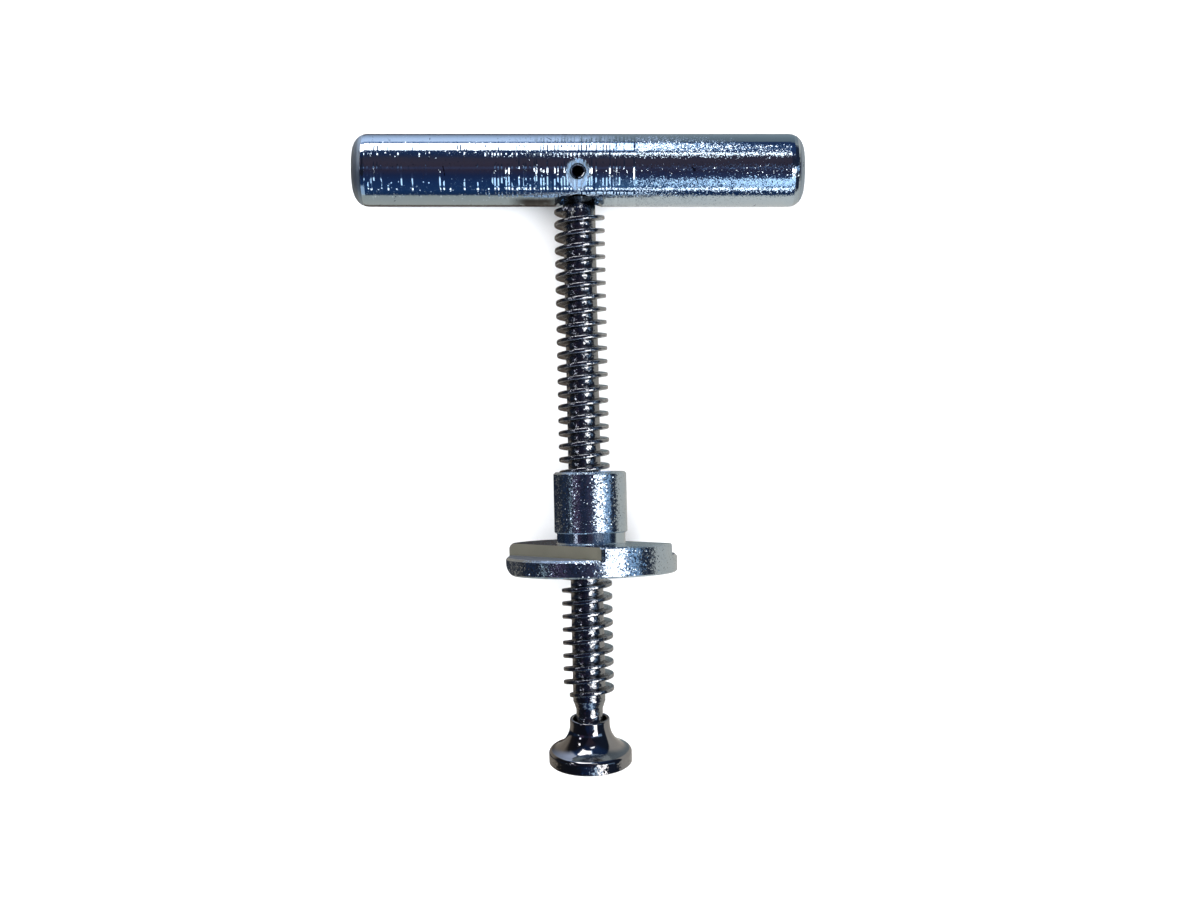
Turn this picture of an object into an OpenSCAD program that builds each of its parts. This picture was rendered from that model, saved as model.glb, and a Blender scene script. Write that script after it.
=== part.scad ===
// Tee screw: a cross bar pinned to a coarse threaded spindle, with a flanged
// nut running on the thread and a trumpet-shaped pressure foot on its ball end.
// It lies on a floor (z = 0) on its cross bar and on the rim of the flange,
// which is how it comes to rest. X runs along the bar, +Y points from the foot
// to the bar, +Z is up. All sizes are in millimetres.

/* [Cross bar] */
// diameter of the round bar
bar_d = 14.0; // [10:0.1:20]
// length of the bar
bar_l = 87.3; // [50:0.1:160]
// how far the rounding reaches along the bar from each end
end_run = 2.8; // [0.5:0.1:5]
// how far the rounding eats into the radius at the end face
end_drop = 2.9; // [0.5:0.1:5]
// gap between the spindle's core and the wall of the bore's wider mouth
mouth_gap = 1.4; // [0.3:0.05:2]
// depth of that mouth below the bar's surface
mouth_depth = 2.6; // [1:0.1:3]
// slope of the mouth's conical floor
mouth_slope = 31; // [0:1:45]
// metal left behind the blind bore
back_wall = 2.1; // [1:0.1:3]
// how far the cross hole lies from the bar's middle, towards the foot
pin_at = 1.2; // [-2:0.1:2]
// depth of the 45 degree countersink around the cross hole
pin_sink = 0.8; // [0:0.05:1.5]

/* [Spring pin] */
// outer diameter of the rolled pin
pin_d = 3.1; // [2:0.05:5]
// wall thickness of the rolled pin
pin_wall = 0.52; // [0.2:0.01:1]
// width of its slot
pin_slot = 0.58; // [0.2:0.01:1]
// angle of the slot from straight towards the foot
slot_deg = 11; // [-180:1:180]
// how far each end of the pin sits below the bar's surface
pin_recess = 0.6; // [0:0.05:1]

/* [Spindle] */
// how far the spindle leans out of square with the bar
lean_deg = 1.2; // [0:0.05:3]
// pitch of the single-start right-hand thread
pitch = 2.54; // [1.5:0.01:4]
// diameter over the rounded crests
crest_d = 9.86; // [8:0.02:12]
// diameter of the wide cylindrical root
root_d = 6.3; // [5:0.02:8]
// half of the ridge's thickness at the root
half_base = 0.57; // [0.3:0.01:1]
// half of the ridge's thickness below the rounded crest
half_mid = 0.41; // [0.2:0.01:0.8]
// half of the narrow flat on top of the crest
half_tip = 0.18; // [0.05:0.01:0.5]
// height of the rounded crest
crest_round = 0.38; // [0.1:0.01:0.8]
// turns of the ridge, with its two run-outs
thread_turns = 37.4; // [5:0.05:60]
// angle at which the ridge begins, from the +X side
start_deg = 126; // [0:1:360]
// plain core between the bar's surface and the ridge
lead_gap = 0.05; // [0.05:0.05:5]
// length of the taper between the thread and the neck
taper_l = 1.1; // [0.5:0.1:3]
// plain neck that shows above the foot's lip
neck_l = 1.86; // [1:0.01:8]
// how deep the neck is turned below the ball's surface
neck_cut = 0.9; // [0.5:0.05:2]
// diameter of the ball that carries the foot
ball_d = 7.0; // [5:0.1:9]
// flat sides in one turn of the modelled thread
facets = 20; // [12:1:32]

/* [Nut] */
// free screw between the nut and the foot's lip
nut_clear = 28.1; // [2:0.05:60]
// diameter of the nut's round body
body_d = 14.2; // [13:0.1:20]
// length of the round body
body_l = 11.8; // [6:0.1:20]
// depth of the relief turned between body and flange
relief_cut = 0.45; // [0.2:0.01:1]
// length of that relief
relief_l = 2.05; // [0.5:0.05:4]
// diameter of the flange
flange_d = 33.3; // [25:0.1:50]
// thickness of the flange
flange_t = 5.75; // [4:0.05:10]
// depth of the two milled steps in the flange's bar side
step_t = 2.35; // [0.5:0.05:3]
// distance from the round body to the wall of the first step
step_gap = 2.48; // [0.2:0.01:5]
// distance from the round body to the wall of the second step
back_gap = 0.3; // [0.2:0.01:5]
// direction of the first step's wall, from straight up towards +X
step_deg = -48.4; // [-180:0.1:180]
// corner rounding at the flange's -X end, towards the bar
bar_round = 1.1; // [0.5:0.1:2]
// corner rounding at the flange's -X end, towards the foot
foot_round = 2.6; // [0.5:0.1:3]
// how far the loose nut hangs to the +X side of the spindle
nut_side = 1.0; // [0:0.05:1]
// play between the two threads, at crest and root
play = 1.15; // [0.15:0.01:1.3]
// play between the flanks of the two threads
flank_play = 0.15; // [0.1:0.01:0.3]
// how far the countersinks of the tapped bore reach past its grooves
lead_in = 0.2; // [0.1:0.05:1]

/* [Foot] */
// diameter of the foot's rim
foot_d = 16.2; // [10:0.1:30]
// how far the rolled lip closes in over the ball
lip_grip = 0.25; // [0.05:0.01:0.6]
// length of the straight opening above the ball
lip_l = 1.67; // [0.5:0.01:4]
// wall thickness of the rolled lip
lip_wall = 0.65; // [0.3:0.05:2]
// where the hollow flare begins, from the lip
flare_at = 1.2; // [0:0.1:3]
// height of the straight rim
rim_t = 2.0; // [0.5:0.05:4]
// rounding on top of the rim
rim_round = 0.9; // [0.2:0.05:1.5]
// metal between the ball socket and the pressure face
foot_floor = 2.35; // [1:0.05:6]

/* [Hidden] */
$fn = 96;

// clearances: a pressed fit, a running fit and the spindle's end in its bore
press_gap = 0.01;
running = 0.05;
shank_gap = 0.1;
end_gap = 0.2;
// what is left between neck and lip when the loose foot sags
sag_gap = 0.1;
// broken edges
flange_edge = 0.3;
floor_edge = 0.45;
body_edge = 0.4;
relief_edge = 0.2;
face_edge = 0.25;
pin_edge_run = 0.35;
pin_edge_drop = 0.18;
// how far joined solids reach into each other, and cutters past a face
lap = 0.1;
past = 1;
// stations over which the ridge rises and dies away, and its least rise
fade_in = 4;
fade_out = 14;
first_rise = 0.6;
least_rise = 0.12;

bar_r = bar_d / 2;
crest_r = crest_d / 2;
root_r = root_d / 2;
pin_r = pin_d / 2;
hole_r = pin_r + press_gap;
bore_end = bar_r - back_wall;
mouth_r = root_r + mouth_gap;
mouth_floor = bar_r - mouth_depth;
half_pin = sqrt(bar_r * bar_r - pin_at * pin_at) - pin_recess;

// The ridge begins just clear of the bar and its stations give the length.
start_s = bar_r + lead_gap + half_base;
stations = round(thread_turns * facets);
core_end = start_s + stations * pitch / facets + half_base + lap;
first_crest = start_s + (360 - start_deg) / 360 * pitch;

// The foot's socket runs around the ball, which sits where the neck ends.
ball_r = ball_d / 2;
neck_r = ball_r - neck_cut;
socket_r = ball_r + running;
lip_r = ball_r - lip_grip;
collar_r = lip_r + lip_wall;
foot_r = foot_d / 2;
socket_at = lip_l + sqrt(socket_r * socket_r - lip_r * lip_r);
foot_h = socket_at + socket_r + foot_floor;
ball_at = core_end + lap + taper_l + neck_l + socket_at;
sag_deg = atan((lip_r - neck_r - sag_gap) / socket_at);

// The nut's faces are set from the foot's lip upwards.
body_r = body_d / 2;
relief_r = body_r - relief_cut;
flange_r = flange_d / 2;
flange_end = ball_at - socket_at - nut_clear;
flange_at = flange_end - flange_t;
relief_at = flange_at - relief_l;
nut_at = relief_at - body_l;
step_at = body_r + step_gap;
back_at = body_r + back_gap;
floor_at = flange_at + step_t;

// The flange touches the floor with its full rim, just below the steps. That
// circle's height over the bar's axis sets how steeply the part lies.
touch_s = (floor_at + floor_edge) * cos(lean_deg) - nut_side * sin(lean_deg);
rest_deg = acos(bar_r / norm([flange_r, touch_s])) - atan(touch_s / flange_r);

// The foot's rim is the end of the part, and half the overall length shifts it
// so that the origin is under the middle of its box.
face_r = foot_r - face_edge;
face_h = foot_h - socket_at;
foot_y = cos(rest_deg) * cos(lean_deg) * ball_at
       + face_h * (sin(rest_deg) * sin(sag_deg)
                   + cos(rest_deg) * cos(lean_deg) * cos(sag_deg))
       + face_r * norm([sin(rest_deg) * cos(sag_deg)
                        - cos(rest_deg) * cos(lean_deg) * sin(sag_deg),
                        cos(rest_deg) * sin(lean_deg)]);
shift_y = (foot_y - bar_r) / 2;

// from the bar's own frame (Z along the screw, Y towards the viewer) to the row
module lay() {
    translate([0, shift_y, bar_r]) rotate([90 - rest_deg, 0, 0]) children();
}

module lean() {
    rotate([0, lean_deg, 0]) children();
}

// A helical ridge on a round core as one closed solid. prof lists [half width
// signed along the axis, radius] across the ridge, from one root line to the
// other. k counts stations of one facet each, and rise lists how high the
// ridge stands at each of them.
module ridge(prof, core, from_s, from_deg, stations, low, high, fade_in, fade_out) {
    n = len(prof);
    rise = [for (k = [0:stations])
        max(least_rise, min(1, (k + first_rise) / fade_in,
                            (stations - k + first_rise) / fade_out))];
    angle = [for (k = [0:stations]) from_deg + k * 360 / facets];
    mid = [for (k = [0:stations]) from_s + k * pitch / facets];
    skin = [for (k = [0:stations], q = prof)
        let (r = core + (q[1] - core) * rise[k])
        [r * cos(angle[k]), r * sin(angle[k]), mid[k] + q[0]]];
    lower = [for (i = [0:facets - 1])
        [core * cos(angle[i]), core * sin(angle[i]), low]];
    upper = [for (i = [0:facets - 1])
        let (a = angle[stations] + i * 360 / facets)
        [core * cos(a), core * sin(a), high]];
    base_lo = len(skin);
    base_hi = base_lo + facets;
    t = stations - facets;
    strips = [for (k = [0:stations - 1], j = [0:n - 2])
        let (a = k * n + j, b = a + 1, c = b + n, d = a + n)
        each [[a, b, c], [a, c, d]]];
    lands = [for (k = [0:stations - facets - 1])
        [k * n + n - 1, (k + facets) * n, (k + facets + 1) * n, (k + 1) * n + n - 1]];
    skirt_lo = [for (k = [0:facets - 2])
        [base_lo + k, k * n, (k + 1) * n, base_lo + k + 1]];
    close_lo = [[base_lo + facets - 1, (facets - 1) * n, facets * n, n - 1, 0, base_lo]];
    skirt_hi = [for (i = [1:facets - 1])
        [(t + i) * n + n - 1, base_hi + i, base_hi + (i + 1) % facets,
         (t + i + 1) * n + n - 1]];
    close_hi = [[(t + 1) * n + n - 1, t * n + n - 1, stations * n,
                 stations * n + n - 1, base_hi, base_hi + 1]];
    ends = [[for (j = [n - 1:-1:0]) j],
            [for (j = [0:n - 1]) stations * n + j],
            [for (i = [0:facets - 1]) base_lo + i],
            [for (i = [facets - 1:-1:0]) base_hi + i]];
    polyhedron(points = concat(skin, lower, upper),
               faces = concat(strips, lands, skirt_lo, close_lo, skirt_hi, close_hi, ends),
               convexity = 20);
}

module cross_bar() {
    end_r = bar_r - end_drop;
    cone_s = mouth_floor - mouth_gap * tan(mouth_slope);
    color([0.60, 0.63, 0.68])
    lay()
    difference() {
        rotate([0, 90, 0])
        rotate_extrude()
        polygon(concat(
            [[0, -bar_l / 2]],
            [for (u = [0:15:90])
                [end_r + end_drop * sin(u), -bar_l / 2 + end_run * (1 - cos(u))]],
            [for (u = [90:-15:0])
                [end_r + end_drop * sin(u), bar_l / 2 - end_run * (1 - cos(u))]],
            [[0, bar_l / 2]]));
        // blind bore for the spindle's plain end, with its wider mouth
        lean()
        rotate_extrude()
        polygon([[0, -bore_end], [root_r, -bore_end], [root_r, cone_s],
                 [mouth_r, mouth_floor], [mouth_r, bar_r + past], [0, bar_r + past]]);
        // cross hole for the spring pin, countersunk on both sides
        translate([0, 0, pin_at])
        rotate([90, 0, 0])
        rotate_extrude()
        polygon([[0, -bar_r - past], [hole_r + pin_sink + past, -bar_r - past],
                 [hole_r, -bar_r + pin_sink], [hole_r, bar_r - pin_sink],
                 [hole_r + pin_sink + past, bar_r + past], [0, bar_r + past]]);
    }
}

module spring_pin() {
    tip_r = pin_r - pin_edge_drop;
    edge_at = half_pin - pin_edge_run;
    color([0.20, 0.22, 0.25])
    lay()
    translate([0, 0, pin_at])
    rotate([90, 0, 0])
    difference() {
        rotate_extrude()
        polygon([[pin_r - pin_wall, -half_pin], [tip_r, -half_pin], [pin_r, -edge_at],
                 [pin_r, edge_at], [tip_r, half_pin], [pin_r - pin_wall, half_pin]]);
        rotate([0, 0, 90 + slot_deg])
        translate([0, -pin_slot / 2, -half_pin - past])
        cube([pin_d, pin_slot, 2 * (half_pin + past)]);
    }
}

module screw_spindle() {
    tip_r = crest_r - crest_round;
    core_start = bar_r - mouth_depth / 4;
    shank_l = bore_end - end_gap;
    color([0.16, 0.17, 0.20])
    lay() lean()
    union() {
        ridge([[-half_base, root_r], [-half_mid, tip_r], [-half_tip, crest_r],
               [half_tip, crest_r], [half_mid, tip_r], [half_base, root_r]],
              root_r, start_s, start_deg, stations,
              core_start, core_end, fade_in, fade_out);
        // plain end held in the bar
        difference() {
            translate([0, 0, -shank_l])
            cylinder(h = shank_l + start_s + past, r = root_r - shank_gap);
            translate([-pin_at * sin(lean_deg), 0, pin_at * cos(lean_deg)])
            rotate([90, 0, 0])
            cylinder(h = bar_d, r = hole_r, center = true);
        }
        // taper, neck and ball
        rotate_extrude()
        union() {
            polygon([[0, core_end - past], [root_r - lap, core_end - past],
                     [root_r - lap, core_end + lap], [neck_r, core_end + lap + taper_l],
                     [neck_r, ball_at], [0, ball_at]]);
            intersection() {
                translate([0, ball_at]) circle(r = ball_r);
                translate([0, ball_at - ball_r]) square([ball_r, 2 * ball_r]);
            }
        }
    }
}

// The cutter that rounds off a corner of the flange at its -X end. The corner
// is at (x, s), and side is 1 when it faces the foot and -1 when it faces the bar.
module round_off(x, s, r, side) {
    translate([x + r, flange_r + past, s - side * r])
    rotate([90, 0, 0])
    linear_extrude(flange_d + 2 * past)
    difference() {
        translate([-r - past, side > 0 ? 0 : -r - past])
        square(r + past);
        circle(r = r);
    }
}

module flanged_nut() {
    // the tapping tool is the spindle's own helix, grown by the play
    tap_root = root_r + play;
    tap_top = crest_r + play;
    tap_s = first_crest + floor((nut_at - first_crest) / pitch - 3) * pitch;
    tap_turns = ceil((flange_end - nut_at) / pitch + 5);
    sink_r = tap_top + lead_in;
    // the -X end of what the first step leaves of the flange's bar side
    plate_x = sqrt(flange_r * flange_r - step_at * step_at) * cos(step_deg)
            - step_at * sin(step_deg);
    color([0.52, 0.54, 0.58])
    lay() lean()
    translate([nut_side, 0, 0])
    difference() {
        rotate_extrude()
        polygon([[0, nut_at + sink_r], [sink_r, nut_at], [body_r - body_edge, nut_at],
                 [body_r, nut_at + body_edge], [body_r, relief_at - relief_edge],
                 [body_r - relief_edge, relief_at], [relief_r, relief_at],
                 [relief_r, flange_at - relief_edge], [relief_r + relief_edge, flange_at],
                 [flange_r - flange_edge, flange_at], [flange_r, flange_at + flange_edge],
                 [flange_r, flange_end - flange_edge], [flange_r - flange_edge, flange_end],
                 [sink_r, flange_end], [0, flange_end - sink_r]]);
        // the two steps, with a broken edge all along their floors
        for (wall = [[0, step_at], [180, back_at]])
            intersection() {
                rotate([0, 0, 90 - step_deg + wall[0]])
                translate([wall[1], -flange_r - past, flange_at - past])
                cube([flange_r, flange_d + 2 * past, step_t + 3 * past]);
                rotate_extrude()
                polygon([[0, flange_at - past], [flange_r + past, flange_at - past],
                         [flange_r + past, floor_at + floor_edge + past],
                         [flange_r - floor_edge, floor_at], [0, floor_at]]);
            }
        round_off(-plate_x, flange_at, bar_round, -1);
        round_off(-flange_r, flange_end, foot_round, 1);
        ridge([[-half_base - flank_play, tap_root], [-half_mid - flank_play, tap_top],
               [half_mid + flank_play, tap_top], [half_base + flank_play, tap_root]],
              tap_root, tap_s, 0, tap_turns * facets,
              tap_s - pitch, tap_s + (tap_turns + 1) * pitch, 1, 1);
    }
}

module swivel_foot() {
    // the flare's hollow curve meets the collar upright and the rim's rounding
    // without a corner, which fixes its radius
    round_r = foot_r - rim_round;
    round_h = foot_h - rim_t;
    rise = round_h - flare_at;
    run = round_r - collar_r;
    flare_r = (run * run + rise * rise - rim_round * rim_round)
            / (2 * (rim_round + run));
    hollow_r = collar_r + flare_r;
    part = flare_r / (flare_r + rim_round);
    touch_r = hollow_r - (hollow_r - round_r) * part;
    touch_h = flare_at + rise * part;
    color([0.14, 0.15, 0.18])
    lay() lean()
    translate([0, 0, ball_at]) rotate([sag_deg, 0, 0])
    translate([0, 0, -socket_at])
    rotate_extrude()
    difference() {
        union() {
            // rolled lip
            translate([lip_r + lip_wall / 2, lip_wall / 2]) circle(r = lip_wall / 2);
            translate([lip_r, lip_wall / 2]) square([lip_wall, flare_at]);
            // flare
            difference() {
                translate([0, flare_at]) square([touch_r, foot_h - flare_at]);
                translate([hollow_r, flare_at]) circle(r = flare_r);
            }
            // rim
            translate([round_r, round_h]) circle(r = rim_round);
            polygon([[0, touch_h], [touch_r, touch_h], [round_r, round_h],
                     [foot_r, round_h], [foot_r, foot_h - face_edge],
                     [face_r, foot_h], [0, foot_h]]);
        }
        // socket around the ball, open through the lip
        translate([0, socket_at]) circle(r = socket_r);
        translate([-past, -past]) square([lip_r + past, socket_at + past]);
        translate([-foot_d, -past]) square([foot_d, foot_h + 2 * past]);
    }
}

cross_bar();
spring_pin();
screw_spindle();
flanged_nut();
swivel_foot();
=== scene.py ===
"""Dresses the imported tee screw: a smooth helical spindle, zinc and nickel
finishes, a pale floor, studio light and the photograph's camera."""

import math

import bpy
from mathutils import Matrix, Vector


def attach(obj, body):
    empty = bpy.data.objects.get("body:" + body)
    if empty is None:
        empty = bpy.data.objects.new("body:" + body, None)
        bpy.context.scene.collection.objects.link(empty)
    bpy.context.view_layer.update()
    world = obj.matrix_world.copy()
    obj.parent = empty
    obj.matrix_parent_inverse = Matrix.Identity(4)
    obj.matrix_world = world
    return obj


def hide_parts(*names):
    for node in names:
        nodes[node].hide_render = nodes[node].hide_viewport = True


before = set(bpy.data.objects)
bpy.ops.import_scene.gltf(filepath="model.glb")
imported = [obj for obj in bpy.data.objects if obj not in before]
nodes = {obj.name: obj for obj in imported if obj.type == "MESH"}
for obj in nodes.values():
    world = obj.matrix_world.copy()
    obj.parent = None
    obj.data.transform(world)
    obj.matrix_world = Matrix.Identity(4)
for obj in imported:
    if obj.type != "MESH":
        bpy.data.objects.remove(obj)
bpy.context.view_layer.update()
MM = 0.001

# The part's own frame, repeated from part.scad in millimetres: X along the bar,
# Y towards the viewer, Z along the screw from the bar to the foot.
REST_DEG = 7.264429949808561
LEAN_DEG = 1.2
SHIFT_Y = 53.92515610082057
BAR_R = 7.0
PITCH = 2.54
ROOT_R = 3.15
CREST_R = 4.93
START_S = 7.62
START_DEG = 126.0
TURNS = 37.4
CORE_END = 103.286
LAP = 0.1
TAPER_L = 1.1
BALL_AT = 109.4443
BALL_R = 3.5
NECK_R = 2.6
SHANK_L = 4.7
SHANK_R = 3.05
NUT_SIDE = 1.0
RELIEF_R = 6.65
RELIEF_AT = 70.446
FLANGE_AT = 72.496
STEP_T = 2.35
STEP_AT = 9.58
BACK_AT = 7.4
STEP_DEG = -48.4
PIN_AT = 1.2

# Half the ridge's thickness at the root, and where the corners of its crest are.
HALF_BASE = 0.57
CORNER_AT = 0.20
CORNER_DOWN = 0.30
CORNER_RX = 0.21
CORNER_RY = 0.28

# Places where a finish changes, in millimetres: along the bar from its middle,
# and along the screw from the bar's axis.
TURNED_END = 10.8
LEFT_LINE = -39.45
LEFT_ROUNDING = -41.6
RIGHT_ROUNDING = 42.55
HIDDEN_TO = 5.5
WORN_AND_HIGHLIGHT_TO = 104.5
FOOT_RIM = 114.0

lay = (Matrix.Translation((0, SHIFT_Y * MM, BAR_R * MM))
       @ Matrix.Rotation(math.radians(90 - REST_DEG), 4, "X"))
axis_frame = lay @ Matrix.Rotation(math.radians(LEAN_DEG), 4, "Y")
nut_frame = axis_frame @ Matrix.Translation((NUT_SIDE * MM, 0, 0))


def in_row(x, y, s):
    """A point of the screw's frame, in millimetres, as a point of the row frame."""
    return axis_frame @ Vector((x * MM, y * MM, s * MM))


def make_mesh(name, points, faces, smooth=True):
    mesh = bpy.data.meshes.new(name)
    mesh.from_pydata(points, [], faces)
    mesh.validate()
    mesh.update()
    if smooth:
        mesh.shade_smooth()
    made = bpy.data.objects.new(name, mesh)
    bpy.context.scene.collection.objects.link(made)
    return made


def arc(cx, cy, rx, ry, from_deg, to_deg, steps):
    """Points of an elliptical arc in the plane of a profile."""
    return [(cx + rx * math.cos(math.radians(a)), cy + ry * math.sin(math.radians(a)))
            for a in [from_deg + (to_deg - from_deg) * i / steps for i in range(steps + 1)]]


# The spindle: the same helix as the solid, with a round crest and root fillets.

FACETS = 80
FILLET = 0.12


def ridge_profile():
    """(offset along the axis, height over the root) across the ridge."""
    top = CREST_R - ROOT_R
    left = [(-HALF_BASE - FILLET, 0.0), (-HALF_BASE - 0.35 * FILLET, 0.18 * FILLET),
            (-HALF_BASE + 0.1 * FILLET, 0.9 * FILLET)]
    corner_h = top - CORNER_DOWN
    crest = (arc(-CORNER_AT, corner_h, CORNER_RX, CORNER_RY, 180, 90, 6) + [(0, top)]
             + arc(CORNER_AT, corner_h, CORNER_RX, CORNER_RY, 90, 0, 6))
    right = [(-x, h) for x, h in reversed(left)]
    return left + crest + right


def spindle_mesh():
    """The whole spindle as one closed mesh: the ridge is swept along its helix with
    n points at each station, each turn is joined to the next by the root, and rings
    of points make the plain end, the taper, the neck and the ball."""
    prof = ridge_profile()
    n = len(prof)
    stations = round(TURNS * FACETS)
    step = PITCH / FACETS
    points, faces = [], []
    for k in range(stations + 1):
        turn = k / FACETS
        # the ridge rises in the first fifth of a turn and dies away at the end
        rise = min(1.0, (turn + 0.03) / 0.2, (TURNS - turn + 0.03) / 0.7)
        rise = rise * rise * (3 - 2 * rise)
        angle = math.radians(START_DEG + 360 * turn)
        for offset, height in prof:
            r = ROOT_R + height * max(rise, 0.01)
            points.append(in_row(r * math.cos(angle), r * math.sin(angle),
                                 START_S + k * step + offset))
    for k in range(stations):
        for j in range(n - 1):
            a = k * n + j
            faces.append((a, a + n, a + n + 1, a + 1))
    # the root between a turn and the next
    for k in range(stations - FACETS):
        faces.append((k * n + n - 1, (k + 1) * n + n - 1, (k + FACETS + 1) * n,
                      (k + FACETS) * n))

    def ring(r, s, from_angle):
        first = len(points)
        for i in range(FACETS):
            angle = from_angle + 2 * math.pi * i / FACETS
            points.append(in_row(r * math.cos(angle), r * math.sin(angle), s))
        return first

    def tube(low, high):
        for i in range(FACETS):
            j = (i + 1) % FACETS
            faces.append((low + i, low + j, high + j, high + i))

    # the core before the first turn and after the last one
    begin = math.radians(START_DEG)
    end = begin + 2 * math.pi * (stations % FACETS) / FACETS
    low = ring(ROOT_R, BAR_R - 0.65, begin)
    for k in range(FACETS - 1):
        faces.append((low + k, low + k + 1, (k + 1) * n, k * n))
    faces.append((low + FACETS - 1, low, 0, n - 1, FACETS * n, (FACETS - 1) * n))
    high = ring(ROOT_R, CORE_END - 0.15, end)
    last = stations - FACETS
    for i in range(1, FACETS):
        faces.append(((last + i) * n + n - 1, (last + i + 1) * n + n - 1,
                      high + (i + 1) % FACETS, high + i))
    faces.append((last * n + n - 1, (last + 1) * n + n - 1, high + 1, high,
                  stations * n + n - 1, stations * n))
    # the ridge's two ends
    faces.append(tuple(range(n)))
    faces.append(tuple(stations * n + j for j in range(n - 1, -1, -1)))
    # plain end, down into the bar
    below = low
    for r, s in [(SHANK_R, BAR_R - 0.75), (SHANK_R, -SHANK_L + 0.4),
                 (SHANK_R - 0.4, -SHANK_L)]:
        nxt = ring(r, s, begin)
        tube(nxt, below)
        below = nxt
    faces.append(tuple(below + i for i in range(FACETS - 1, -1, -1)))
    # taper, neck and ball
    above = high
    taper_end = CORE_END + LAP + TAPER_L
    reach = math.degrees(math.acos(NECK_R / BALL_R))
    profile = [(ROOT_R - 0.05, CORE_END), (ROOT_R - 0.11, CORE_END + LAP),
               (NECK_R + 0.12, taper_end - 0.15), (NECK_R + 0.03, taper_end + 0.05),
               (NECK_R, taper_end + 0.3), (NECK_R, taper_end + 1.6)]
    profile += [(r, BALL_AT + h) for r, h in arc(0, 0, BALL_R, BALL_R, -reach, 84, 16)]
    for r, s in profile:
        nxt = ring(r, s, end)
        tube(above, nxt)
        above = nxt
    faces.append(tuple(above + i for i in range(FACETS)))
    return make_mesh("screw_spindle_turned", points, faces)


spindle = spindle_mesh()
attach(spindle, "spindle")
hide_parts("screw_spindle")


# Materials. Each one is a small tree of nodes over the piece's own coordinates.

class Tree:
    """A node tree, with short calls that return the output they make."""

    def __init__(self, tree):
        self.tree = tree

    def add(self, kind, out=0, settings=(), **inputs):
        """Adds a node and returns its output named or numbered out. A keyword names
        an input, with _ for a space, or is i and the input's number."""
        node = self.tree.nodes.new(kind)
        for key, value in dict(settings).items():
            setattr(node, key, value)
        for key, value in inputs.items():
            name = int(key[1:]) if key[0] == "i" and key[1:].isdigit() else key.replace("_", " ")
            self.put(node.inputs[name], value)
        return node.outputs[out]

    def put(self, socket, value):
        if isinstance(value, bpy.types.NodeSocket):
            self.tree.links.new(value, socket)
        else:
            socket.default_value = value

    def math(self, operation, a, b=0.0):
        return self.add("ShaderNodeMath", 0, {"operation": operation}, i0=a, i1=b)

    def product(self, *factors):
        """All the factors multiplied together, from the left."""
        result = factors[0]
        for factor in factors[1:]:
            result = self.math("MULTIPLY", result, factor)
        return result

    def vector(self, operation, a, b=(0, 0, 0), out="Vector"):
        return self.add("ShaderNodeVectorMath", out, {"operation": operation}, i0=a, i1=b)

    def scaled(self, vector, scale):
        return self.add("ShaderNodeVectorMath", 0, {"operation": "SCALE"}, i0=vector,
                        Scale=scale)

    def parts(self, value, kind="ShaderNodeSeparateXYZ"):
        """The three parts of a vector or a colour."""
        node = self.tree.nodes.new(kind)
        self.put(node.inputs[0], value)
        return node.outputs

    def mix(self, share, a, b):
        """A colour between a and b."""
        node = self.tree.nodes.new("ShaderNodeMix")
        node.data_type = "RGBA"
        self.put(node.inputs[0], share)
        self.put(node.inputs[6], a)
        self.put(node.inputs[7], b)
        return node.outputs[2]

    def blend(self, share, a, b):
        """A number between a and b."""
        node = self.tree.nodes.new("ShaderNodeMix")
        self.put(node.inputs[0], share)
        self.put(node.inputs[2], a)
        self.put(node.inputs[3], b)
        return node.outputs[0]

    def smooth(self, value, low, high):
        """0 under low, 1 over high, and a smooth step between them."""
        return self.add("ShaderNodeMapRange", 0, {"interpolation_type": "SMOOTHSTEP"},
                        Value=value, From_Min=low, From_Max=high)

    def between(self, value, low, high, soft):
        """1 inside the range from low to high, and 0 outside it."""
        return self.math("MULTIPLY", self.smooth(value, low - soft, low + soft),
                         self.math("SUBTRACT", 1.0, self.smooth(value, high - soft, high + soft)))

    def ramp(self, value, stops):
        node = self.tree.nodes.new("ShaderNodeValToRGB")
        elements = node.color_ramp.elements
        while len(elements) < len(stops):
            elements.new(0.5)
        for element, (at, colour) in zip(elements, stops):
            element.position = at
            element.color = (*colour, 1)
        self.put(node.inputs[0], value)
        return node.outputs[0]

    def cells(self, where, scale):
        """A random vector, from -0.5 to 0.5, for each small cell of the surface."""
        colour = self.add("ShaderNodeTexVoronoi", "Color", (), Vector=where, Scale=scale)
        return self.vector("SUBTRACT", colour, (0.5, 0.5, 0.5))

    def noise(self, where, scale, detail=2.0, out=0):
        return self.add("ShaderNodeTexNoise", out, (), Vector=where, Scale=scale,
                        Detail=detail)

    def tilted(self, *pushes):
        """The surface's normal, pushed aside by vectors."""
        normal = self.add("ShaderNodeNewGeometry", "Normal")
        for push in pushes:
            normal = self.vector("ADD", normal, push)
        return self.vector("NORMALIZE", normal)


def material(name):
    made = bpy.data.materials.new(name)
    made.use_nodes = True
    made.node_tree.nodes.clear()
    return made, Tree(made.node_tree)


def finish_metal(t, colour, roughness, normal, metallic=1.0):
    shader = t.add("ShaderNodeBsdfPrincipled", 0, (), Metallic=metallic, Base_Color=colour,
                   Roughness=roughness, Normal=normal)
    out = t.tree.nodes.new("ShaderNodeOutputMaterial")
    t.tree.links.new(shader, out.inputs[0])


def in_frame(t, where, matrix):
    """Coordinates of a frame other than the row's, in metres."""
    back = matrix.inverted()
    return t.add("ShaderNodeMapping", 0, (), Vector=where, Location=back.translation,
                 Rotation=back.to_euler())


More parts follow.
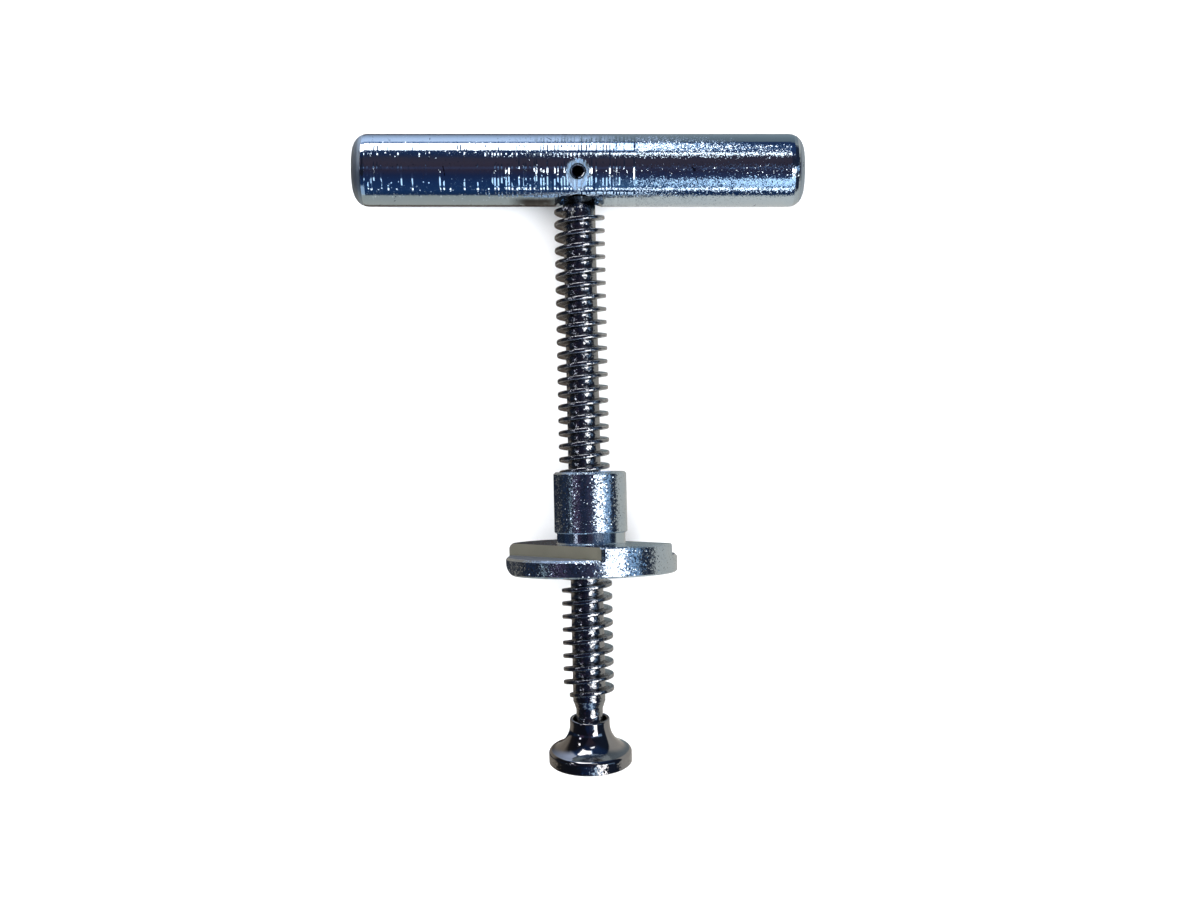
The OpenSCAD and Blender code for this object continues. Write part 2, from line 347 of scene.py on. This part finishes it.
def specks(t, where, size, calm, strong, often, seed):
    """Small crystals, size millimetres wide. Each one leans a little, and one in
    a few leans strongly; often is the share of those."""
    lean = t.cells(t.vector("ADD", where, (seed, 0, 0)), 1 / (size * MM))
    split = t.parts(lean)
    pick = t.math("FRACT", t.math("ADD", t.product(split[1], 17.3), t.product(split[2], 5.1)))
    chosen = t.math("LESS_THAN", pick, often)
    return t.scaled(lean, t.blend(chosen, calm, strong))


def turning_marks(t, x, s, where, turned):
    """The push of the fine rings, and of torn ones among them, along the bar."""
    fine_ring = t.parts(t.add("ShaderNodeTexVoronoi", "Color", {"voronoi_dimensions": "1D"},
                              W=x, Scale=1 / (0.26 * MM)), "ShaderNodeSeparateColor")
    torn_ring = t.tree.nodes.new("ShaderNodeTexVoronoi")
    torn_ring.voronoi_dimensions = "1D"
    t.put(torn_ring.inputs["W"], x)
    torn_ring.inputs["Scale"].default_value = 1 / (0.66 * MM)
    torn_ring.inputs["Randomness"].default_value = 0.5
    pick = t.parts(torn_ring.outputs["Color"], "ShaderNodeSeparateColor")
    # they lie in patches, densely beside the spindle, and are faint near the bar's edges
    dense = t.between(x, -19 * MM, (TURNED_END + 0.1) * MM, 3 * MM)
    patch = t.noise(t.vector("MULTIPLY", where, (1, 0.45, 0.45)), 900.0, 1.0)
    patchy = t.smooth(patch, t.blend(dense, 0.52, 0.43), t.blend(dense, 0.56, 0.48))
    facing = t.product(t.blend(dense, 0.0, t.smooth(x, -14 * MM, -6 * MM)), 0.15)
    facing = t.math("MAXIMUM", facing, t.between(s, -3.8 * MM, 5.8 * MM, 0.4 * MM))
    torn = t.product(patchy, t.math("LESS_THAN", pick[0], t.blend(dense, 0.55, 0.9)),
                     t.math("LESS_THAN", torn_ring.outputs["Distance"], 0.2), facing)
    lean = t.math("ADD", t.product(t.math("SUBTRACT", fine_ring[1], 0.4), 0.03),
                  t.product(torn, t.blend(pick[1], 0.09, 0.22)))
    line = t.math("ADD",
                  t.between(x, (TURNED_END - 0.05) * MM, (TURNED_END + 0.15) * MM, 0.03 * MM),
                  t.between(x, LEFT_LINE * MM, (LEFT_LINE + 0.15) * MM, 0.03 * MM))
    lean = t.math("ADD", t.product(lean, turned), t.product(line, 0.10))
    return t.add("ShaderNodeCombineXYZ", 0, (), X=lean)


def rubbed_ring(t, x, s, where):
    """The share of a rubbed ring around the cross hole, longer towards the spindle."""
    below = t.math("SUBTRACT", s, PIN_AT * MM)
    stretch = t.product(below, t.blend(t.math("GREATER_THAN", below, 0.0), 0.95, 0.62))
    reach = t.math("SQRT", t.math("ADD", t.product(x, x), t.product(stretch, stretch)))
    streak = t.noise(t.vector("MULTIPLY", where, (1, 0.35, 0.35)), 2600.0, 2.0)
    reach = t.math("ADD", reach, t.product(t.math("SUBTRACT", streak, 0.5), 1.3 * MM))
    ring = t.math("SUBTRACT", 1.0, t.smooth(reach, 1.9 * MM, 2.35 * MM))
    return t.product(ring, t.blend(t.smooth(streak, 0.40, 0.56), 0.85, 0.45))


def bar_material():
    made, t = material("zinc_turned")
    where = t.add("ShaderNodeTexCoord", "Object")
    own = t.parts(in_frame(t, where, lay))
    x, s = own[0], own[2]
    turned = t.math("SUBTRACT", 1.0, t.smooth(x, TURNED_END * MM, (TURNED_END + 0.5) * MM))
    rings = turning_marks(t, x, s, where, turned)
    # zinc crystals, sparse on the turned half and all over the right half
    coarse = specks(t, where, 0.20, t.blend(turned, 0.035, 0.012), t.blend(turned, 0.22, 0.28),
                    t.blend(turned, 0.22, 0.03), 0.0)
    fine = specks(t, where, 0.14, t.blend(turned, 0.04, 0.01), t.blend(turned, 0.16, 0.10),
                  t.blend(turned, 0.4, 0.12), 0.3)
    # they thin out on the upper side towards the right end
    upper = t.math("SUBTRACT", 1.0, t.smooth(s, -4.2 * MM, -3.6 * MM))
    thin = t.blend(t.product(upper, t.smooth(x, 24 * MM, 36 * MM)), 1.0, 0.1)
    tint = t.noise(where, 160.0, 3.0)
    colour = t.mix(tint, (0.58, 0.69, 0.80, 1), (0.68, 0.76, 0.82, 1))
    # painted shade: the bar's underside beside the spindle is darkened, standing in for the
    # spindle's dark reflection and shadow there; and a few fine scratches
    cloud = t.noise(where, 420.0, 3.0)
    painted_shade = t.product(t.between(x, -12 * MM, -4.0 * MM, 2.2 * MM), t.smooth(s, 5.6 * MM, 6.4 * MM),
                      t.smooth(cloud, 0.24, 0.40))
    colour = t.mix(painted_shade, colour, (0.07, 0.058, 0.058, 1))
    web = t.add("ShaderNodeTexVoronoi", "Distance", {"feature": "DISTANCE_TO_EDGE"},
                Vector=t.vector("MULTIPLY", where, (1, 0.4, 0.8)), Scale=90.0)
    scratch = t.product(t.math("LESS_THAN", web, 0.006), t.smooth(cloud, 0.62, 0.64))
    colour = t.mix(scratch, colour, (0.12, 0.15, 0.20, 1))
    rubbed = rubbed_ring(t, x, s, where)
    colour = t.mix(rubbed, colour, (0.22, 0.39, 0.62, 1))
    roughness = t.blend(t.noise(where, 900.0, 2.0), 0.05, 0.11)
    roughness = t.blend(rubbed, roughness, 0.35)
    # the rounded ends are duller
    middle = t.between(x, LEFT_ROUNDING * MM, RIGHT_ROUNDING * MM, 0.25 * MM)
    roughness = t.blend(t.math("SUBTRACT", 1.0, middle), roughness, 0.5)
    normal = t.tilted(rings, t.scaled(coarse, thin), t.scaled(fine, thin))
    finish_metal(t, colour, roughness, normal, t.blend(rubbed, 1.0, 0.4))
    return made


def nut_material():
    made, t = material("zinc_speckled")
    where = t.add("ShaderNodeTexCoord", "Object")
    own = in_frame(t, where, nut_frame)
    s = t.parts(own)[2]
    a = math.radians(STEP_DEG)
    across = t.vector("DOT_PRODUCT", own, (math.sin(a), math.cos(a), 0), out="Value")
    # milled walls and floors of the two steps
    outside = t.math("MAXIMUM", t.math("GREATER_THAN", across, (STEP_AT - 0.02) * MM),
                     t.math("LESS_THAN", across, -(BACK_AT - 0.02) * MM))
    floor_at = FLANGE_AT + STEP_T
    in_step = t.product(outside, t.between(s, (FLANGE_AT - 0.1) * MM, (floor_at + 0.02) * MM,
                                           0.01 * MM))
    on_floor = t.product(in_step, t.math("GREATER_THAN", s, (floor_at - 0.02) * MM))
    r = t.vector("LENGTH", t.vector("MULTIPLY", own, (1, 1, 0)), out="Value")
    relief = t.product(t.math("LESS_THAN", r, (RELIEF_R + 0.1) * MM),
                       t.between(s, (RELIEF_AT - 0.02) * MM, (FLANGE_AT + 0.02) * MM, 0.01 * MM))
    calm = t.math("MAXIMUM", in_step, relief)
    rough_skin = t.math("SUBTRACT", 1.0, calm)
    coarse = specks(t, where, 0.25, t.blend(calm, 0.07, 0.01), t.product(rough_skin, 0.27),
                    0.26, 0.0)
    fine = specks(t, where, 0.17, t.blend(calm, 0.06, 0.02), t.product(rough_skin, 0.66),
                  0.14, 0.3)
    # the relief is turned with a slight hollow, which mirrors what is higher up
    up = -(axis_frame.to_3x3() @ Vector((0, 0, 1)))
    hollow = t.scaled(tuple(up), t.product(relief, 0.06))
    tint = t.noise(where, 260.0, 3.0)
    zinc = t.mix(tint, (0.58, 0.69, 0.80, 1), (0.70, 0.78, 0.84, 1))
    # the rim's edge beside the first step's wall is rounded over towards that wall, and its colour
    # there is darkened: a painted dark reflection of that rounded edge
    rounded = t.product(t.between(across, (STEP_AT - 0.6) * MM, STEP_AT * MM, 0.12 * MM),
                        t.between(s, (FLANGE_AT + 0.3) * MM, (floor_at + 0.2) * MM, 0.25 * MM),
                        t.math("GREATER_THAN", r, 16 * MM))
    to_wall = axis_frame.to_3x3() @ Vector((-1, 0, 0))
    over = t.scaled(tuple(to_wall), t.product(rounded, 0.8))
    # painted shade: a darker colour along the rounded edge
    zinc = t.mix(t.product(rounded, 0.7), zinc, (0.05, 0.08, 0.14, 1))
    milled = t.mix(tint, (0.13, 0.127, 0.100, 1), (0.17, 0.165, 0.132, 1))
    # painted reflection: the steps' floors are coloured bluer than their walls, standing in for
    # the blue-grey they mirror
    milled = t.mix(on_floor, milled, (0.12, 0.135, 0.165, 1))
    colour = t.mix(in_step, zinc, milled)
    roughness = t.blend(in_step, t.blend(t.noise(where, 1400.0, 2.0), 0.10, 0.2), 0.45)
    finish_metal(t, colour, roughness, t.tilted(coarse, fine, hollow, over),
                 t.blend(in_step, 1.0, 0.25))
    return made


def nickel_material(name, low, high, wobble, grit, rough, worn_and_highlight):
    """Dark nickel, coloured from low to high. Its part inside the bar is painted black, as shade,
    the foot's rim is gritty, and the edges of the thread's crest are lightened: partly wear,
    partly a painted highlight."""
    made, t = material(name)
    where = t.add("ShaderNodeTexCoord", "Object")
    own = t.parts(in_frame(t, where, axis_frame))
    s = own[2]
    # painted shade: the spindle within the bar is coloured black, as the bore's shade
    inside = t.math("LESS_THAN", s, HIDDEN_TO * MM)
    grit = t.blend(t.smooth(s, FOOT_RIM * MM, (FOOT_RIM + 0.4) * MM), grit, 0.22)
    flat = t.add("ShaderNodeCombineXYZ", 0, (), X=own[0], Y=own[1])
    r = t.vector("LENGTH", flat, out="Value")
    # lightened crest edges: partly wear, partly a painted highlight standing in for the crests'
    # bright lines
    edge = t.between(r, (CREST_R - 0.23) * MM, (CREST_R - 0.015) * MM, 0.01 * MM)
    broken = t.smooth(t.noise(where, 700.0, 2.0), 0.36, 0.50)
    edge = t.product(edge, broken, worn_and_highlight, t.blend(t.smooth(s, 60 * MM, 80 * MM), 1.0, 0.45),
                     t.math("LESS_THAN", s, WORN_AND_HIGHLIGHT_TO * MM))
    slow = t.vector("SUBTRACT", t.noise(where, 1 / (1.1 * MM), 3.0, out="Color"),
                    (0.5, 0.5, 0.5))
    pushes = [t.scaled(slow, wobble),
              specks(t, where, 0.30, t.product(grit, 0.3), grit, 0.4, 0.0),
              specks(t, where, 0.15, t.product(grit, 0.3), grit, 0.3, 0.3)]
    tint = t.noise(where, 420.0, 3.0)
    colour = t.mix(inside, t.mix(tint, low, high), (0.01, 0.01, 0.01, 1))
    # painted highlight: a lighter colour on the crest edges
    colour = t.mix(edge, colour, (0.60, 0.60, 0.62, 1))
    roughness = t.blend(t.noise(where, 1600.0, 2.0), rough, rough + 0.08)
    roughness = t.blend(edge, roughness, 0.26)
    finish_metal(t, colour, roughness, t.tilted(*pushes))
    return made


def pin_material():
    """Dark spring steel, whose ends are rounded over at the edge."""
    made, t = material("pin_steel")
    where = t.add("ShaderNodeTexCoord", "Object")
    own = in_frame(t, where, axis_frame)
    offset = t.vector("MULTIPLY", t.vector("SUBTRACT", own, (0, 0, PIN_AT * MM)), (1, 0, 1))
    outward = t.parts(t.vector("NORMALIZE", offset))
    r = t.vector("LENGTH", offset, out="Value")
    bend = t.product(t.smooth(r, 0.95 * MM, 1.5 * MM), 1.1)
    turn = axis_frame.to_3x3()
    aside = t.scaled(tuple(turn.col[0]), t.product(outward[0], bend))
    down = t.scaled(tuple(turn.col[2]), t.product(outward[2], bend))
    marks = specks(t, where, 0.2, 0.05, 0.2, 0.3, 0.0)
    finish_metal(t, (0.30, 0.31, 0.33, 1), 0.1, t.tilted(t.vector("ADD", aside, down), marks))
    return made


def set_material(piece, made):
    if not piece.data.materials:
        piece.data.materials.append(None)
    for slot in piece.material_slots:
        slot.material = made


set_material(nodes["cross_bar"], bar_material())
set_material(nodes["flanged_nut"], nut_material())
set_material(spindle, nickel_material(
    "nickel_thread", (0.32, 0.33, 0.35, 1), (0.42, 0.42, 0.43, 1), 0.11, 0.26, 0.07, 0.85))
set_material(nodes["swivel_foot"], nickel_material(
    "nickel_polished", (0.34, 0.33, 0.34, 1), (0.42, 0.41, 0.42, 1), 0.03, 0.01, 0.04, 0.0))
set_material(nodes["spring_pin"], pin_material())


# Studio. The world is what the metal mirrors: a dark room with a pale horizon,
# and lamps. a points along the bar, b from the foot to the bar, c to the viewer.

def band_stops(bands):
    """Stops of a ramp over -180 to 180 degrees from straight above."""
    return [((at + 180) / 360, colour) for at, colour in bands]


def make_world():
    world = bpy.data.worlds.new("studio")
    bpy.context.scene.world = world
    world.use_nodes = True
    world.node_tree.nodes.clear()
    t = Tree(world.node_tree)
    way = t.add("ShaderNodeTexCoord", "Generated")
    a, b, c = t.parts(t.add("ShaderNodeMapping", 0, (), Vector=way,
                            Rotation=(math.radians(REST_DEG), 0, 0)))
    # degrees away from c: signed by b, signed by a, and around the screw
    polar = t.product(t.math("ARCCOSINE", c), 180 / math.pi)
    up_deg = t.product(polar, t.math("SIGN", b))
    side_deg = t.product(polar, t.math("SIGN", a))
    round_deg = t.product(t.math("ARCTAN2", a, c), 180 / math.pi)
    along = t.math("DIVIDE", t.math("ADD", up_deg, 180.0), 360.0)
    aside = t.math("DIVIDE", t.math("ADD", side_deg, 180.0), 360.0)
    left = t.ramp(along, band_stops([
        (-180, (0.11, 0.088, 0.075)), (-155, (0.13, 0.11, 0.09)), (-145, (0.42, 0.42, 0.38)),
        (-97, (0.36, 0.38, 0.36)), (-92, (0.01, 0.03, 0.08)),
        (-75, (0.012, 0.04, 0.12)), (-50, (0.012, 0.035, 0.11)), (-25, (0.014, 0.024, 0.07)),
        (-8, (0.035, 0.028, 0.050)), (15, (0.048, 0.038, 0.058)), (33, (0.036, 0.036, 0.062)),
        (44, (0.012, 0.028, 0.08)), (86, (0.02, 0.06, 0.18)), (90, (0.10, 0.20, 0.42)),
        (95, (0.75, 0.88, 1.12)), (112, (0.60, 0.72, 0.96)), (135, (0.26, 0.32, 0.42)),
        (152, (0.07, 0.06, 0.06)), (180, (0.05, 0.045, 0.045))]))
    right = t.ramp(along, band_stops([
        (-180, (0.60, 0.58, 0.54)), (-98, (0.64, 0.64, 0.61)), (-95, (0.12, 0.18, 0.25)),
        (-92, (0.006, 0.02, 0.06)), (-76, (0.012, 0.04, 0.11)), (-63, (0.06, 0.14, 0.28)),
        (-32, (0.03, 0.05, 0.12)), (-15, (0.024, 0.026, 0.06)), (5, (0.036, 0.030, 0.050)),
        (25, (0.048, 0.038, 0.055)), (40, (0.03, 0.032, 0.06)), (54, (0.02, 0.05, 0.14)),
        (90, (0.014, 0.035, 0.10)), (95, (0.14, 0.18, 0.21)), (130, (0.22, 0.27, 0.30)),
        (180, (0.25, 0.29, 0.30))]))
    side = t.ramp(aside, band_stops([
        (-180, (0.33, 0.30, 0.26)), (-120, (0.28, 0.25, 0.21)), (-104, (0.02, 0.020, 0.022)),
        (-75, (0.012, 0.014, 0.022)), (-30, (0.011, 0.013, 0.024)), (10, (0.014, 0.018, 0.036)),
        (60, (0.016, 0.024, 0.048)), (90, (0.014, 0.022, 0.040)), (94, (0.50, 0.50, 0.47)),
        (180, (0.52, 0.49, 0.44))]))
    fan = t.mix(t.smooth(a, -0.03, 0.03), left, right)
    # the bar mirrors the fan, which goes around it; the screw and nut mirror the sides
    far = t.math("MAXIMUM", t.math("SUBTRACT", t.product(a, a), 0.02), 0.0)
    share = t.math("DIVIDE", far, t.math("ADD", t.math("ADD", far, t.product(b, b)), 1e-4))
    # the pale horizon on the left has a dark gap, which the nut's left side mirrors
    gap = t.product(t.between(b, -0.11, 0.05, 0.02), t.math("LESS_THAN", side_deg, -80.0))
    side = t.mix(gap, side, (0.010, 0.017, 0.032, 1))
    colour = t.mix(t.smooth(share, 0.15, 0.5), fan, side)

    def lamp(strength, tint, *ranges):
        """Adds a lamp that fills a range of each named angle or coordinate."""
        nonlocal colour
        mask = t.product(strength, *[t.between(*limits) for limits in ranges])
        colour = t.vector("ADD", colour, t.scaled(tint, mask))

    low_edge = t.math("ADD", b, t.product(a, 0.75))
    lamp(4.0, (1, 1, 1), (up_deg, 58, 85, 1.0), (a, -0.42, 0.015, 0.02))
    lamp(0.9, (0.70, 1.05, 1.5), (up_deg, 55, 87, 2.0), (a, 0.01, 0.055, 0.03))
    lamp(3.0, (0.95, 1, 1.05), (up_deg, 42, 47.5, 0.6), (a, 0.005, 0.26, 0.02))
    lamp(1.25, (0.70, 0.95, 1.20), (up_deg, -60, -36, 1.5), (a, 0.07, 0.40, 0.04))
    lamp(2.6, (0.9, 1, 1.1), (up_deg, -74, -67, 0.8), (a, 0.025, 0.40, 0.02))
    lamp(4.5, (1, 1, 1), (round_deg, 18, 43.5, 1.5), (b, -0.8, -0.03, 0.012),
         (low_edge, -0.04, 2, 0.02), (a, 0.19, 0.8, 0.015))
    lamp(3.5, (1, 1, 1), (round_deg, 20, 42, 2.0), (b, -0.56, -0.40, 0.03), (a, 0.40, 0.66, 0.03))
    lamp(4.5, (0.9, 0.95, 1.1), (round_deg, -56, -49, 1.5), (b, 0.06, 0.14, 0.015),
         (a, -0.9, -0.5, 0.02))
    lamp(4.0, (1, 1, 1), (round_deg, -57, -49, 1.5), (b, 0.42, 0.54, 0.02), (a, -0.9, -0.5, 0.02))
    lamp(1.2, (0.8, 1.0, 1.1), (round_deg, -69, -63, 0.8), (b, -0.10, -0.06, 0.008))
    lamp(0.5, (0.7, 0.9, 1.1), (up_deg, -96, -62, 2.0), (a, -0.5, -0.2, 0.03))
    # what only the nut mirrors: a purple band on its left and light blue on its right
    lamp(1.0, (0.070, 0.034, 0.058), (round_deg, -57, -33, 3.0), (b, -0.10, 0.03, 0.015))
    lamp(1.0, (0.008, 0.016, 0.038), (round_deg, -100, 12, 4.0), (b, -0.10, 0.03, 0.015))
    lamp(1.0, (0.34, 0.54, 0.80), (round_deg, 44, 67, 2.0), (b, -0.11, 0.05, 0.015))
    lamp(1.0, (0.14, 0.22, 0.36), (round_deg, 8, 45, 4.0), (b, -0.06, 0.05, 0.02))
    light = t.tree.nodes.new("ShaderNodeBackground")
    t.put(light.inputs[0], colour)
    light.inputs[1].default_value = 1.0
    out = t.tree.nodes.new("ShaderNodeOutputWorld")
    t.tree.links.new(light.outputs[0], out.inputs[0])


make_world()


def stage_material(name, colour, emission=None):
    made, t = material(name)
    if emission is None:
        shader = t.add("ShaderNodeBsdfPrincipled", 0, (), Base_Color=(*colour, 1), Roughness=0.7)
    else:
        shader = t.add("ShaderNodeEmission", 0, (), Color=(*colour, 1), Strength=emission)
    out = t.tree.nodes.new("ShaderNodeOutputMaterial")
    t.tree.links.new(shader, out.inputs[0])
    return made


def seen_by(piece, diffuse=True, glossy=True, shadow=True):
    """Which rays meet a piece of the stage; the camera's always do."""
    piece.visible_diffuse = diffuse
    piece.visible_glossy = glossy
    piece.visible_transmission = glossy
    piece.visible_shadow = shadow


floor = make_mesh("floor", [(-3, -3, -2e-5), (3, -3, -2e-5), (3, 3, -2e-5), (-3, 3, -2e-5)],
                  [(0, 1, 2, 3)], smooth=False)
floor.data.materials.append(stage_material("floor_white", (0.93, 0.93, 0.93)))
seen_by(floor, glossy=False)

# a pale surround that only the camera sees, past the floor's edge
rings, parts = 12, 32
points = [(6 * math.cos(math.pi * (i / rings - 0.5)) * math.cos(2 * math.pi * j / parts),
           6 * math.cos(math.pi * (i / rings - 0.5)) * math.sin(2 * math.pi * j / parts),
           6 * math.sin(math.pi * (i / rings - 0.5)))
          for i in range(rings + 1) for j in range(parts)]
faces = [(i * parts + j, i * parts + (j + 1) % parts, (i + 1) * parts + (j + 1) % parts,
          (i + 1) * parts + j) for i in range(rings) for j in range(parts)]
surround = make_mesh("surround", points, faces)
surround.data.materials.append(stage_material("surround_pale", (0.90, 0.91, 0.92), 1.0))
seen_by(surround, diffuse=False, glossy=False, shadow=False)


def soft_light(name, at, target, size, power):
    """A round light that lights the floor and is mirrored nowhere."""
    data = bpy.data.lights.new(name, "AREA")
    data.shape = "DISK"
    data.size = size
    data.energy = power
    made = bpy.data.objects.new(name, data)
    bpy.context.scene.collection.objects.link(made)
    made.location = at
    made.rotation_euler = (Vector(target) - Vector(at)).to_track_quat("-Z", "Y").to_euler()
    made.visible_glossy = False


soft_light("key", (-0.35, 0.45, 0.9), (0, 0, 0), 1.6, 21.0)
soft_light("fill", (0.5, -0.4, 0.8), (0, 0, 0), 1.6, 15.0)

# Camera: straight down on the screw, at the photograph's distance.
DISTANCE = 310.0
target = lay @ Vector((4.22 * MM, 0, 54.4 * MM))
towards = (lay.to_3x3() @ Vector((0, 1, 0))).normalized()
upward = (lay.to_3x3() @ Vector((0, 0, -1))).normalized()
sideways = upward.cross(towards)
data = bpy.data.cameras.new("camera")
data.sensor_width = 36
data.lens = 47.78
data.clip_start, data.clip_end = 0.01, 20
camera = bpy.data.objects.new("camera", data)
bpy.context.scene.collection.objects.link(camera)
turn = Matrix((sideways, upward, towards)).transposed().to_4x4()
camera.matrix_world = Matrix.Translation(target + towards * DISTANCE * MM) @ turn
bpy.context.scene.camera = camera
bpy.context.scene.view_settings.view_transform = "Standard"
